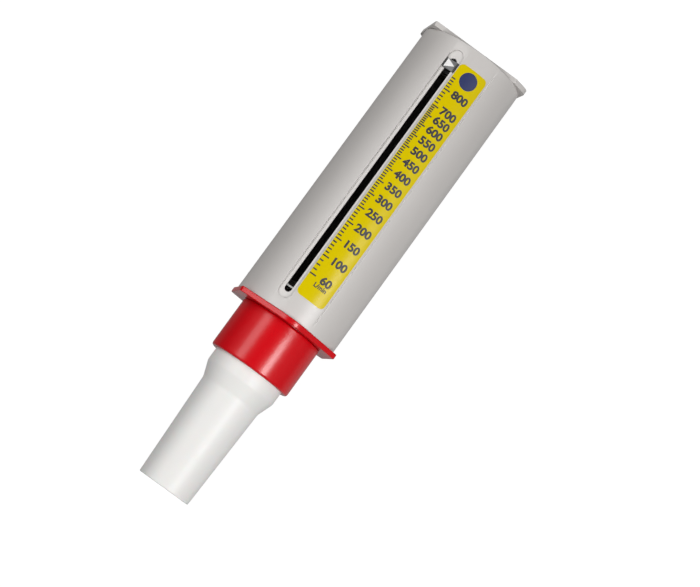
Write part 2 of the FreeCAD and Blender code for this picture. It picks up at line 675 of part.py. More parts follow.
def block(made, across, up):
    """A rectangle from one (low, high) pair along each of the sketch's axes."""
    outline(made, [(across[0], up[0]), (across[1], up[0]), (across[1], up[1]), (across[0], up[1])])


# The pointer: a low block in the sunk track, a raised triangle that points at the scale, and a
# stem through the slot into the keeper.
TRACK_TURN = "roll - slot_angle"
pointer = piece("pointer", TRACK_TURN)
NEAR = "pointer_place - pointer_length / 2"
FAR = "pointer_place + pointer_length / 2"
SIDE = "(track_width / 2 - pointer_side)"
low_part = sketch(pointer, "pointer_base_outline", "XY_Plane", "glide")
block(low_part, (NEAR, FAR), ("-" + SIDE, SIDE))
pad(pointer, "pointer_low_part", low_part, "pointer_base")
foot = sketch(pointer, "triangle_foot", "XY_Plane", "glide + pointer_base")
block(foot, (NEAR + " + foot_end", FAR + " - foot_end"),
      ("-%s + triangle_side - foot_side" % SIDE, "%s - triangle_side + foot_side" % SIDE))
crest = sketch(pointer, "triangle_crest", "XY_Plane", "glide + pointer_base + pointer_rise")
outline(crest, [
    ("pointer_place - triangle_point / 2", "-%s + triangle_side" % SIDE),
    ("pointer_place + triangle_point / 2", "-%s + triangle_side" % SIDE),
    (FAR + " - triangle_end", "%s - triangle_side" % SIDE),
    (NEAR + " + triangle_end", "%s - triangle_side" % SIDE),
])
feature(pointer, "AdditiveLoft", "triangle", foot, Sections=[crest], Ruled=True)
crest.Visibility = False
doc.recompute()
stem = sketch(pointer, "stem_outline", "XY_Plane", "keeper_low + stem_short")
block(stem, ("pointer_place - stem_length / 2", "pointer_place + stem_length / 2"),
      ("-(slot_width / 2 - stem_side)", "slot_width / 2 - stem_side"))
pad(pointer, "stem", stem, "glide - keeper_low")
pin_hole = sketch(pointer, "stem_hole_outline", "XZ_Plane")
circle(pin_hole, "pin_radius", "pointer_place", "keeper_low + pin_height")
feature(pointer, "Pocket", "stem_hole", pin_hole, Type="ThroughAll", Midplane=True)
doc.recompute()

# The keeper, which the piston pushes and the stem is pinned in.
keeper = piece("pointer_keeper", TRACK_TURN)
inside = sketch(keeper, "keeper_outline", "XY_Plane", "keeper_low")
block(inside, ("keeper_near", "keeper_near + keeper_length"), ("-keeper_width / 2", "keeper_width / 2"))
pad(keeper, "keeper_block", inside, "keeper_height")
spin(keeper, "keeper_crown", [
    ("keeper_near - spare", "keeper_top"),
    ("keeper_near + keeper_length + spare", "keeper_top"),
    ("keeper_near + keeper_length + spare", "keeper_top + keeper_height"),
    ("keeper_near - spare", "keeper_top + keeper_height"),
], "Groove")
window = sketch(keeper, "keeper_window_outline", "XY_Plane", "keeper_low - spare")
block(window,
      ("pointer_place - stem_length / 2 - seat_gap", "pointer_place + stem_length / 2 + seat_gap"),
      ("-(slot_width / 2 - stem_side + seat_gap)", "slot_width / 2 - stem_side + seat_gap"))
cut_out(keeper, "keeper_window", window)
keeper_hole = sketch(keeper, "keeper_hole_outline", "XZ_Plane")
circle(keeper_hole, "pin_radius", "pointer_place", "keeper_low + pin_height")
feature(keeper, "Pocket", "keeper_hole", keeper_hole, Type="ThroughAll", Midplane=True)
doc.recompute()

pin = piece("keeper_pin", TRACK_TURN)
pin_section = sketch(pin, "pin_section", "XZ_Plane")
circle(pin_section, "pin_radius - seat_gap", "pointer_place", "keeper_low + pin_height")
shaft = pad(pin, "pin_shaft", pin_section, "keeper_width - 2 * pin_short")
shaft.Midplane = True
doc.recompute()

# The bowed leaf between keeper and tube, whose friction keeps the pointer where it was pushed.
leaf = piece("friction_spring", TRACK_TURN)
bow = sketch(leaf, "leaf_profile", "XZ_Plane")
LEAF_STEPS = 6
under = []
over = []
for step in range(LEAF_STEPS + 1):
    share = 2.0 * step / LEAF_STEPS - 1.0
    along = "pointer_place + leaf_length / 2 * %.6f" % share
    lift = "keeper_top + leaf_gap + leaf_bow * %.6f" % (share * share)
    under.append((along, lift))
    over.append((along, lift + " + leaf_skin"))
outline(bow, under + over[::-1])
strip = pad(leaf, "leaf_strip", bow, "leaf_width")
strip.Midplane = True
doc.recompute()
leaf_window = sketch(leaf, "leaf_window_outline", "XY_Plane", "keeper_top - spare")
block(leaf_window,
      ("pointer_place - leaf_length / 2 + leaf_edge", "pointer_place + leaf_length / 2 - leaf_edge"),
      ("-slot_width / 2", "slot_width / 2"))
cut_out(leaf, "leaf_window", leaf_window)

doc.recompute()
os.makedirs("parts", exist_ok=True)
for item in doc.Objects:
    if "Invalid" in item.State or "Error" in item.State:
        raise RuntimeError("%s: %s" % (item.Name, item.State))
for body in doc.findObjects("PartDesign::Body"):
    if body.Shape.isNull() or not body.Shape.isValid() or len(body.Shape.Solids) != 1:
        raise RuntimeError("%s is not one valid solid" % body.Label)
    body.Shape.exportStep("parts/%s.step" % body.Label)
    print("%-16s %9.1f mm3" % (body.Label, body.Shape.Volume))
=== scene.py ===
from math import atan, cos, pi, radians, sin, sqrt, tan

import bmesh
import bpy
from mathutils import Matrix, Vector


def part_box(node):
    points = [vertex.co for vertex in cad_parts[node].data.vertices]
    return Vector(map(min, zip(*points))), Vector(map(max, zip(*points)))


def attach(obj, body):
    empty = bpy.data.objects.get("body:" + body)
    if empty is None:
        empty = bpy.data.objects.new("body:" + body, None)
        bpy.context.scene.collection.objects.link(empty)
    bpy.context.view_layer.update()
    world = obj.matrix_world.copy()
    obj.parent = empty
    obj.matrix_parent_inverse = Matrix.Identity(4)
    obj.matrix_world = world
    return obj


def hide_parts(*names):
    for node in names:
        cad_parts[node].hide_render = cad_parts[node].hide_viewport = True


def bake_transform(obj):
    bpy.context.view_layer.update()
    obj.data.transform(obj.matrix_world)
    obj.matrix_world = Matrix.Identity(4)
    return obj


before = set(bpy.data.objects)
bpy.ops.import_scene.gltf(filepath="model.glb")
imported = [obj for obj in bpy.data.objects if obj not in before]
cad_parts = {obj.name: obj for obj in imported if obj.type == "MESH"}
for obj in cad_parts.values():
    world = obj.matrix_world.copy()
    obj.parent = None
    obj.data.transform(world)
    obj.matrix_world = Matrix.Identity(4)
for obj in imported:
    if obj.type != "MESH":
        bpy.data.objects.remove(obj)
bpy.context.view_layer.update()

bl_info = {
    "name": "Peak flow meter",
    "version": (1, 0, 0),
    "blender": (4, 5, 0),
    "location": "View3D > Sidebar > Meter",
    "description": "Dresses the parts of a hand-held peak flow meter",
    "category": "Add Mesh",
}

BARREL_LOW, BARREL_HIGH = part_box("barrel")
SEAM = BARREL_LOW.x
AXIS = (BARREL_LOW.z + BARREL_HIGH.z) / 2
TUBE_RADIUS = (BARREL_HIGH.y - BARREL_LOW.y) / 2
TUBE_LENGTH = BARREL_HIGH.x - BARREL_LOW.x
MM = 0.001

# Which way the far plate's front corner is cut, from straight up, and the steps of what is round.
ROLL = radians(23.5)
STEP = radians(1.5)

# Points nearer than this are one point, and a face nearer than this to a surface lies on it.
MERGE = 1e-7
NEAR = 0.1 * MM

# Clearances: pieces that push or slide together, pieces fixed in each other, the label and its print.
PUSH_GAP = 0.05 * MM
FIXED_GAP = 0.02 * MM
LABEL_GAP = 0.01 * MM
INK_GAP = 0.004 * MM
ROD_HOLE = 1.22 * MM

# How far one form of a piece is sunk into another or set back from it, so that no two faces coincide.
SINK = 0.02 * MM


def mm(name, number, about):
    """A length given in millimetres, kept in metres. Ends and places along the meter are from the seam."""
    return bpy.props.FloatProperty(name=name, description=about, default=number * MM, unit="LENGTH",
                                   precision=5)


def turn(name, degrees, about):
    """An angle given in degrees."""
    return bpy.props.FloatProperty(name=name, description=about, default=radians(degrees), unit="ROTATION")


def tint(name, colour, about):
    """A colour, as linear red, green and blue."""
    return bpy.props.FloatVectorProperty(name=name, description=about, default=colour, subtype="COLOR",
                                         size=3, min=0.0, max=1.0)


def ratio(name, number, about):
    """A number without a unit."""
    return bpy.props.FloatProperty(name=name, description=about, default=number)


def quantity(name, number, about):
    """A number of copies."""
    return bpy.props.IntProperty(name=name, description=about, default=number, min=1)


class TubeSizes(bpy.types.PropertyGroup):
    """The grey tube, its slot and its sunk track"""
    wall: mm("Wall", 2.3, "Thickness of the wall")
    edge: mm("Edge", 0.4, "Rounding of the tube's ends")
    soften: mm("Soften", 0.15, "Rounding of the cut edges")
    slot_angle: turn("Slot angle", 6.3, "Slot, from straight up")
    slot_start: mm("Slot start", 7.3, "Near end of the slot")
    slot_end: mm("Slot end", 117.7, "Far end of the slot")
    slot_width: mm("Slot width", 3.0, "Width of the slot")
    lip: mm("Lip", 0.5, "Thickness of the slot's edges")
    relief: mm("Relief", 0.5, "Widening inside the tube")
    track_near: mm("Track near", 2.9, "Track past the slot's near end")
    track_far: mm("Track far", 3.6, "Track past the slot's far end")
    track_width: mm("Track width", 6.0, "Width of the track")
    track_depth: mm("Track depth", 0.9, "Depth of the track")
    line_angle: turn("Line angle", 49.5, "Fine groove, from straight up")
    line_width: mm("Line width", 0.5, "Width of the fine groove")
    line_depth: mm("Line depth", 0.22, "Depth of the fine groove")
    colour: tint("Colour", (0.60, 0.575, 0.555), "Pale grey of the tube")
    # Painted shade: the inside of the tube is a darker grey than the outside, so that the slot reads dark.
    bore_colour: tint("Bore colour", (0.25, 0.24, 0.23), "Grey of the tube inside")


class ScaleSizes(bpy.types.PropertyGroup):
    """The yellow label and its print"""
    angle: turn("Angle", 31.0, "Middle of the label, from straight up")
    sweep: turn("Sweep", 32.6, "Label around the tube")
    start: mm("Start", 9.1, "Near end of the label")
    end: mm("End", 117.8, "Far end of the label")
    corner: mm("Corner", 2.0, "Rounded corners of the label")
    skin: mm("Skin", 0.13, "Thickness of the label")
    ink: mm("Ink", 0.015, "Thickness of the print")
    mark_inset: mm("Mark inset", 0.12, "Marks from the label's inner edge")
    mark_short: mm("Short mark", 1.65, "Length of a short mark")
    mark_long: mm("Long mark", 2.75, "Length of a long mark")
    mark_width: mm("Mark width", 0.56, "Width of the marks")
    stretch: ratio("Stretch", 1.07, "Widening of the type")
    weight: ratio("Weight", 0.042, "Thickening of the type")
    number_size: mm("Number size", 4.4, "Size of the numbers' type")
    number_place: mm("Number place", 7.5, "Middle of the numbers, from the label's inner edge")
    unit_share: ratio("Unit share", 0.58, "Size of the unit, as a share of the numbers'")
    unit_place: mm("Unit place", 15.5, "Middle of the unit")
    unit_shift: mm("Unit shift", 0.7, "Unit nearer the slot than the numbers")
    disc_place: mm("Disc place", 112.95, "Middle of the blue disc")
    disc_radius: mm("Disc radius", 3.6, "Radius of the blue disc")
    colour: tint("Colour", (0.665, 0.52, 0.0), "Yellow of the label")
    ink_colour: tint("Ink colour", (0.035, 0.033, 0.036), "Colour of the print")
    disc_colour: tint("Disc colour", (0.026, 0.036, 0.125), "Blue of the disc")


class NozzleSizes(bpy.types.PropertyGroup):
    """The red end piece with its collar and six-sided flange"""
    flat: mm("Flat", 22.35, "Axis to each flat side of the flange")
    corner: mm("Corner", 1.6, "Rounding of the flange's corners")
    front: mm("Front corner", 9.0, "Rounding of the front corner")
    rim: mm("Rim", 2.1, "Thickness of the flange")
    inset: mm("Inset", 1.6, "Width of the flange's outermost ring")
    edge: mm("Edge", 0.35, "Rounding of the flange's edges")
    collar: mm("Collar", 17.6, "Outside radius of the collar")
    length: mm("Length", 23.7, "Near end of the collar")
    mouth_edge: mm("Mouth edge", 1.5, "Rounding of the collar's mouth")
    root: mm("Root", 0.7, "Rounding at the flange")
    socket: mm("Socket", 15.2, "Inside radius of the collar")
    socket_depth: mm("Socket depth", 15.9, "Depth of the socket")
    passage: mm("Passage", 13.9, "Inside radius of the flange")
    spigot: mm("Spigot", 5.2, "Length inside the tube")
    wall: mm("Wall", 2.0, "Wall inside the tube")
    seal: mm("Seal", 1.1, "Width and depth of the groove")
    hub: mm("Hub", 5.7, "Outside radius of the hub")
    hub_start: mm("Hub start", 6.4, "Near end of hub and arms")
    hub_end: mm("Hub end", 8.9, "Far end of the hub")
    cup: mm("Cup", 4.3, "Inside radius around the spring")
    cup_start: mm("Cup start", 4.0, "Near end of the spring's room")
    pocket: mm("Pocket", 3.05, "Inside radius around the clip")
    pocket_end: mm("Pocket end", 2.4, "Far end of pocket and arms")
    arm: mm("Arm", 1.7, "Thickness of the arms")
    arm_inner: mm("Arms inside", 5.3, "Arms, nearest the axis")
    arm_outer: mm("Arms outside", 14.1, "Arms, farthest from the axis")
    arms: quantity("Arms", 4, "How many arms there are")
    colour: tint("Colour", (0.62, 0.001, 0.006), "Red of the nozzle")


class MouthpieceSizes(bpy.types.PropertyGroup):
    """The white mouthpiece"""
    radius: mm("Radius", 15.15, "Outside radius in the collar")
    neck: mm("Neck", 12.8, "Outside radius above the long taper")
    lips: mm("Lips", 11.25, "Outside radius at the lips")
    wall: mm("Wall", 1.1, "Thickness of the wall")
    bend: mm("Bend", 0.7, "Rounding above and below the shoulder")
    edge: mm("Edge", 0.45, "Rounding at the lips")
    top: mm("Top", 8.4, "Inner end")
    shoulder_end: mm("Shoulder end", 29.2, "Upper end of the shoulder")
    shoulder_start: mm("Shoulder start", 35.6, "Lower end of the shoulder")
    bottom: mm("Bottom", 78.8, "Lip end")
    colour: tint("Colour", (0.82, 0.81, 0.79), "White of the mouthpiece")


class CapSizes(bpy.types.PropertyGroup):
    """The far plate with its vents"""
    plate: mm("Plate", 2.0, "Thickness of the plate")
    inset: mm("Inset", 1.0, "Width of the plate's outermost ring")
    edge: mm("Edge", 0.3, "Rounding of the plate's edges")
    front: mm("Front cut", 14.6, "Axis to the cut front corner")
    corner: mm("Corner", 4.0, "Rounding of the plate's corners")
    spigot: mm("Spigot", 6.4, "Length inside the tube")
    wall: mm("Wall", 1.8, "Wall inside the tube")
    vent_outer: mm("Vents outside", 13.3, "Vents, farthest from the axis")
    vent_inner: mm("Vents inside", 6.2, "Vents, nearest the axis")
    bar: mm("Bar", 1.6, "Bars between the vents")
    bar_sink: mm("Bar sink", 0.3, "Bars past the vents, at both ends")
    floor: mm("Floor", 1.0, "Thickening inside the tube")
    hub: mm("Hub", 4.4, "Outside radius of the hub")
    nut: mm("Nut", 3.1, "Radius of the nut's recess")
    nut_depth: mm("Nut depth", 1.7, "Depth of the nut's recess")
    bars: quantity("Bars", 6, "How many bars there are")


class PointerSizes(bpy.types.PropertyGroup):
    """The pointer in the sunk track"""
    place: mm("Place", 114.55, "Middle of the pointer")
    length: mm("Length", 4.1, "Pointer along the tube")
    width: mm("Width", 5.0, "Pointer across the track")
    base: mm("Base", 0.55, "Low part of the pointer")
    rise: mm("Rise", 0.75, "Triangle above the low part")
    slope: mm("Slope", 0.1, "Slope of the triangle's long sides")
    end_slope: mm("End slope", 0.25, "Slope of the triangle's ends")
    side: mm("Side", 0.5, "Dark strip beside the triangle")
    stem_length: mm("Stem length", 3.0, "Stem along the slot")
    stem_width: mm("Stem width", 2.5, "Stem across the slot")
    stem_depth: mm("Stem depth", 2.55, "Stem inside the tube")
    stem_sink: mm("Stem sink", 0.1, "Stem into the low part")
    colour: tint("Colour", (0.83, 0.82, 0.81), "White of the triangle")
    # Painted shade: the triangle's sloped flanks are dark grey, the same white piece in shade.
    facets: tint("Facets", (0.20, 0.20, 0.20), "Grey of the triangle's flanks")
    dark: tint("Dark", (0.055, 0.055, 0.055), "Grey of the low part")


class SpringSizes(bpy.types.PropertyGroup):
    """The spring that draws the piston back"""
    turns: ratio("Turns", 24.0, "Turns of the spring")
    wire: mm("Wire", 0.22, "Radius of the wire")


GROUPS = {
    "meter_tube": TubeSizes, "meter_scale": ScaleSizes, "meter_nozzle": NozzleSizes,
    "meter_mouthpiece": MouthpieceSizes, "meter_cap": CapSizes, "meter_pointer": PointerSizes,
    "meter_spring": SpringSizes,
}


def at(along, radius, angle):
    """A point of the meter: along from the seam, radius from the axis, angle from straight up."""
    return Vector((SEAM + along, -radius * sin(angle), AXIS + radius * cos(angle)))


def facing(angle):
    """The directions away from the axis and across the tube, at an angle from straight up."""
    return Vector((0.0, -sin(angle), cos(angle))), Vector((0.0, -cos(angle), -sin(angle)))


def on_flat(along, across, height, angle):
    """A point of the meter on a flat that faces that angle, at a height over the axis."""
    up, side = facing(angle)
    return Vector((SEAM, 0.0, AXIS)) + Vector((along, 0.0, 0.0)) + side * across + up * height


def link(name, mesh):
    """An object for a mesh, in the scene."""
    made = bpy.data.objects.new(name, mesh)
    bpy.context.scene.collection.objects.link(made)
    return made


def smooth(mesh, sharp):
    """Shades a mesh smooth up to the sharp angle, in degrees."""
    mesh.shade_smooth()
    mesh.set_sharp_from_angle(angle=radians(sharp))


def from_bmesh(name, bm, sharp=35.0):
    """A new object from a bmesh, shaded smooth."""
    mesh = bpy.data.meshes.new(name)
    bm.to_mesh(mesh)
    bm.free()
    smooth(mesh, sharp)
    return link(name, mesh)


def evaluated(made):
    """A plain mesh of what an object comes to."""
    graph = bpy.context.evaluated_depsgraph_get()
    return bpy.data.meshes.new_from_object(made.evaluated_get(graph))


def settle(made, sharp=35.0):
    """Turns an object's modifiers into its plain mesh."""
    mesh = evaluated(made)
    made.modifiers.clear()
    old = made.data
    made.data = mesh
    mesh.name = made.name
    if old.users == 0:
        bpy.data.meshes.remove(old)
    smooth(mesh, sharp)
    return made


def discard(*objects):
    """Takes helper objects out of the file."""
    for helper in objects:
        mesh = helper.data
        bpy.data.objects.remove(helper)
        if mesh.users == 0:
            bpy.data.meshes.remove(mesh)


def joined(name, parts):
    """One object from several, each a closed shell."""
    bm = bmesh.new()
    for part in parts:
        bm.from_mesh(part.data)
    discard(*parts)
    return from_bmesh(name, bm)


def finish_piece(made, material, nodes=(), body="housing"):
    """Gives a piece its material and its body, and hides the nodes that it stands for."""
    if material is not None:
        made.data.materials.clear()
        made.data.materials.append(material)
    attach(made, body)
    if nodes:
        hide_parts(*nodes)


def with_settings(made, settings):
    """A modifier, a node or an object's data, with these settings."""
    for setting, given in settings.items():
        setattr(made, setting, given)
    return made


def modify(made, name, kind, **settings):
    """A new modifier."""
    return with_settings(made.modifiers.new(name, kind), settings)


def rounded(profile, radius, corners, steps=4):
    """A profile with the numbered corners rounded, of (along, radius) or (along, offset, shape) points."""
    result = []
    for index, (along, offset, *shape) in enumerate(profile):
        if index not in corners:
            result.append((along, offset, *shape))
            continue
        here = Vector((along, offset))
        before = Vector(profile[index - 1][:2]) - here
        after = Vector(profile[(index + 1) % len(profile)][:2]) - here
        reach = min(radius, before.length * 0.49, after.length * 0.49)
        start = here + before.normalized() * reach
        end = here + after.normalized() * reach
        for step in range(steps + 1):
            part = step / steps
            point = start.lerp(here, part).lerp(here.lerp(end, part), part)
            result.append((point.x, point.y, *shape))
    return result


def around(extra=()):
    """Angles once around, with any extra ones that a corner needs."""
    count = round(2 * pi / STEP)
    angles = [index * 2 * pi / count for index in range(count)]
    for angle in extra:
        angle = angle % (2 * pi)
        if min(abs(angle - other) for other in angles) > radians(0.05):
            angles.append(angle)
    return sorted(angles)


def lathe(name, profile, extra=(), sharp=35.0):
    """A closed ring-shaped piece from a closed profile; a shape adds its own radius at each angle."""
    angles = around(extra)
    bm = bmesh.new()
    rings = []
    for along, offset, *shape in profile:
        radii = [offset + (shape[0](angle) if shape else 0.0) for angle in angles]
        rings.append([bm.verts.new(at(along, radius, angle)) for radius, angle in zip(radii, angles)])
    for index, ring in enumerate(rings):
        following = rings[(index + 1) % len(rings)]
        for place in range(len(angles)):
            beyond = (place + 1) % len(angles)
            bm.faces.new((ring[place], ring[beyond], following[beyond], following[place]))
    bmesh.ops.remove_doubles(bm, verts=bm.verts, dist=MERGE)
    bmesh.ops.recalc_face_normals(bm, faces=bm.faces)
    return from_bmesh(name, bm, sharp)


def six_sided(flat, corner, front):
    """The polar radius of a hexagon that stands on a flat side, and the angles that its corners need."""
    sixth = radians(60)

    def rounding(angle):
        """How far the corner nearest to that angle is rounded."""
        return front if angle % (2 * pi) < sixth else corner

    def limit(amount):
        """Where a corner of that rounding begins, from the middle of its side."""
        return atan((flat - amount) * tan(sixth / 2) / flat)

    def radius(angle):
        """How far the outline is from the axis."""
        amount = rounding(angle)
        away = abs((angle + sixth / 2) % sixth - sixth / 2)
        if away <= limit(amount):
            return flat / cos(away)
        from_corner = sixth / 2 - away
        centre = (flat - amount) / cos(sixth / 2)
        return centre * cos(from_corner) + sqrt(amount ** 2 - (centre * sin(from_corner)) ** 2)

    edges = []
    for index in range(6):
        middle = sixth * index + sixth / 2
        half = sixth / 2 - limit(rounding(middle))
        edges.extend(middle + half * part for part in (-1.0, -0.5, 0.0, 0.5, 1.0))
    return radius, edges


def crossings(first, second, tries=720, halvings=30):
    """The angles where one radius passes another, both given as functions of the angle."""
    def inside(angle):
        """Whether the first is the smaller one there."""
        return first(angle) < second(angle)

    found = []
    for index in range(tries):
        low = radians(360 * index / tries)
        high = radians(360 * (index + 1) / tries)
        if inside(low) == inside(high):
            continue
        for _ in range(halvings):
            middle = (low + high) / 2
            if inside(middle) == inside(low):
                low = middle
            else:
                high = middle
        found.append(low)
    return found


def racetrack(start, end, width, steps=12):
    """A closed outline with round ends, in flat (along, across) coordinates."""
    half = width / 2
    points = []
    for first, middle in ((-pi / 2, end - half), (pi / 2, start + half)):
        for index in range(steps + 1):
            angle = first + pi * index / steps
            points.append((middle + half * cos(angle), half * sin(angle)))
    return points


def square_box(start, end, half):
    """A closed flat outline with square corners."""
    return [(start, -half), (end, -half), (end, half), (start, half)]


def round_box(start, end, half, corner, steps=8):
    """A closed flat outline with rounded corners."""
    middles = ((end - corner, half - corner), (start + corner, half - corner),
               (start + corner, corner - half), (end - corner, corner - half))
    points = []
    for quarter, (along, across) in enumerate(middles):
        for step in range(steps + 1):
            angle = radians(90.0 * (quarter + step / steps))
            points.append((along + corner * cos(angle), across + corner * sin(angle)))
    return points


def prism(name, outline, low, high, angle):
    """A straight-sided block over a flat outline, standing on the tube at that angle."""
    bm = bmesh.new()
    pairs = [[bm.verts.new(on_flat(along, across, height, angle)) for height in (low, high)]
             for along, across in outline]
    for row in zip(*pairs):
        bm.faces.new(row)
    for (foot, top), (next_foot, next_top) in zip(pairs, pairs[1:] + pairs[:1]):
        bm.faces.new((foot, next_foot, next_top, top))
    bmesh.ops.recalc_face_normals(bm, faces=bm.faces)
    return from_bmesh(name, bm)


def cut(made, *cutters):
    """Cuts the cutters out of a piece."""
    for cutter in cutters:
        modify(made, "cut", "BOOLEAN", operation="DIFFERENCE", solver="EXACT", object=cutter)
    settle(made)
    discard(*cutters)


def wrap(bm, radius, angle, spacing=0.4 * MM):
    """Bends a flat (along, across) bmesh around the tube, cut fine enough to stay round."""
    across = [vertex.co.y for vertex in bm.verts]
    low = min(across)
    count = int((max(across) - low) / spacing)
    for index in range(1, count + 1):
        place = low + index * spacing
        bmesh.ops.bisect_plane(bm, geom=bm.verts[:] + bm.edges[:] + bm.faces[:], plane_co=(0.0, place, 0.0),
                               plane_no=(0.0, 1.0, 0.0), dist=MERGE)
    for vertex in bm.verts:
        vertex.co = at(vertex.co.x, radius + vertex.co.z, angle + vertex.co.y / radius)


def sheet(name, bm, radius, angle, depth):
    """A thin curved piece on the tube from a flat bmesh."""
    wrap(bm, radius, angle)
    up, _ = facing(angle)
    for face in bm.faces:
        face.normal_update()
        if face.normal.dot(up) < 0:
            face.normal_flip()
    made = from_bmesh(name, bm)
    modify(made, "skin", "SOLIDIFY", thickness=depth, offset=1.0)
    return settle(made)


def sheet_from(name, outline, radius, angle, depth):
    """A thin curved piece on the tube from a flat outline."""
    bm = bmesh.new()
    bm.faces.new([bm.verts.new((along, across, 0.0)) for along, across in outline])
    return sheet(name, bm, radius, angle, depth)


def fill(tree, made, inputs):
    """Gives a node's inputs numbers, sockets to link, or other nodes for their first outputs."""
    for name, given in inputs.items():
        if isinstance(given, bpy.types.Node):
            given = given.outputs[0]
        if isinstance(given, bpy.types.NodeSocket):
            tree.links.new(given, made.inputs[name])
        else:
            made.inputs[name].default_value = given
    return made


def node(tree, kind, inputs=None, **settings):
    """A new node with its inputs."""
    return fill(tree, with_settings(tree.nodes.new(kind), settings), inputs or {})


def maths(tree, operation, *inputs):
    """A math node."""
    return node(tree, "ShaderNodeMath", dict(enumerate(inputs)), operation=operation)


# Node groups for what repeats.


def new_tree(name, **inputs):
    """A new geometry tree with a material and named inputs of each kind, and the sockets that give them."""
    tree = bpy.data.node_groups.new(name, "GeometryNodeTree")
    tree.is_modifier = True
    tree.interface.new_socket("Geometry", in_out="INPUT", socket_type="NodeSocketGeometry")
    tree.interface.new_socket("Geometry", in_out="OUTPUT", socket_type="NodeSocketGeometry")
    for kind, labels in dict(inputs, Material=["Material"]).items():
        for label in labels:
            tree.interface.new_socket(label, in_out="INPUT", socket_type="NodeSocket" + kind)
    return tree, tree.nodes.new("NodeGroupInput").outputs


def close_tree(tree, given, last):
    """Ends a tree in Realize Instances and Set Material."""
    real = node(tree, "GeometryNodeRealizeInstances", {"Geometry": last})
    paint = node(tree, "GeometryNodeSetMaterial", {"Geometry": real, "Material": given["Material"]})
    node(tree, "NodeGroupOutput", {"Geometry": paint})
    return tree


def run_tree(made, tree, settings):
    """Runs a tree on an object with its inputs set, and leaves a plain mesh."""
    modifier = modify(made, "nodes", "NODES", node_group=tree)
    for item in tree.interface.items_tree:
        if item.item_type == "SOCKET" and item.in_out == "INPUT" and item.name in settings:
            modifier[item.identifier] = settings[item.name]
    made.update_tag()
    bpy.context.view_layer.update()
    settle(made)


def circle_tree():
    """Copies of one part around the meter's axis."""
    tree, given = new_tree("parts_around_axis", Object=["Part"], Int=["Count"],
                           Float=["First angle", "Axis height"])
    place = node(tree, "ShaderNodeCombineXYZ", {"Z": given["Axis height"]})
    line = node(tree, "GeometryNodeMeshLine", {
        "Count": given["Count"], "Start Location": place, "Offset": (0.0, 0.0, 0.0),
    })
    source = node(tree, "GeometryNodeObjectInfo", {"Object": given["Part"]})
    share = maths(tree, "DIVIDE", node(tree, "GeometryNodeInputIndex"), given["Count"])
    angle = maths(tree, "ADD", maths(tree, "MULTIPLY", share, 2 * pi), given["First angle"])
    copies = node(tree, "GeometryNodeInstanceOnPoints", {
        "Points": line, "Instance": source.outputs["Geometry"],
        "Rotation": node(tree, "ShaderNodeCombineXYZ", {"X": angle}),
    })
    return close_tree(tree, given, copies)


def marks_tree():
    """The scale's marks: a bar on each point, long where the point says so, bent around the tube."""
    tree, given = new_tree("scale_marks", Float=[
        "Short", "Long", "Width", "Radius", "Angle", "Axis height", "Thickness",
    ])
    bar = node(tree, "GeometryNodeMeshGrid", {
        "Size X": 1.0, "Size Y": 1.0, "Vertices X": 2, "Vertices Y": 7,
    })
    shifted = node(tree, "GeometryNodeTransform", {"Geometry": bar, "Translation": (0.0, 0.5, 0.0)})
    is_long = node(tree, "GeometryNodeInputNamedAttribute", {"Name": "long"}, data_type="FLOAT")
    spare = maths(tree, "SUBTRACT", given["Long"], given["Short"])
    length = maths(tree, "ADD", maths(tree, "MULTIPLY", spare, is_long), given["Short"])
    copies = node(tree, "GeometryNodeInstanceOnPoints", {
        "Points": given["Geometry"], "Instance": shifted,
        "Scale": node(tree, "ShaderNodeCombineXYZ", {"X": given["Width"], "Y": length, "Z": 1.0}),
    })
    flat = node(tree, "GeometryNodeRealizeInstances", {"Geometry": copies})
    thick = node(tree, "GeometryNodeExtrudeMesh", {
        "Mesh": flat, "Offset Scale": given["Thickness"], "Individual": False,
    })
    both = node(tree, "GeometryNodeJoinGeometry", {"Geometry": thick})
    fill(tree, both, {"Geometry": node(tree, "GeometryNodeFlipFaces", {"Mesh": flat})})
    closed = node(tree, "GeometryNodeMergeByDistance", {"Geometry": both, "Distance": MERGE})
    parts = node(tree, "ShaderNodeSeparateXYZ", {0: node(tree, "GeometryNodeInputPosition")}).outputs
    angle = maths(tree, "ADD", maths(tree, "DIVIDE", parts["Y"], given["Radius"]), given["Angle"])
    radius = maths(tree, "ADD", parts["Z"], given["Radius"])
    across = maths(tree, "MULTIPLY", maths(tree, "SINE", angle), radius)
    up = maths(tree, "MULTIPLY", maths(tree, "COSINE", angle), radius)
    bent = node(tree, "ShaderNodeCombineXYZ", {
        "X": parts["X"], "Y": maths(tree, "MULTIPLY", across, -1.0),
        "Z": maths(tree, "ADD", up, given["Axis height"]),
    })
    moved = node(tree, "GeometryNodeSetPosition", {"Geometry": closed, "Position": bent})
    return close_tree(tree, given, moved)


def coil_tree():
    """A coil spring along X."""
    tree, given = new_tree("coil_spring", Vector=["Start"],
                           Float=["Turns", "Length", "Coil radius", "Wire radius"])
    spiral = node(tree, "GeometryNodeCurveSpiral", {
        "Resolution": 28, "Rotations": given["Turns"], "Start Radius": given["Coil radius"],
        "End Radius": given["Coil radius"], "Height": given["Length"],
    })
    section = node(tree, "GeometryNodeCurvePrimitiveCircle", {
        "Resolution": 10, "Radius": given["Wire radius"],
    })
    wire = node(tree, "GeometryNodeCurveToMesh", {
        "Curve": spiral, "Profile Curve": section, "Fill Caps": True,
    })
    laid = node(tree, "GeometryNodeTransform", {
        "Geometry": wire, "Translation": given["Start"], "Rotation": (0.0, radians(90), 0.0),
    })
    return close_tree(tree, given, laid)


# Finishes.


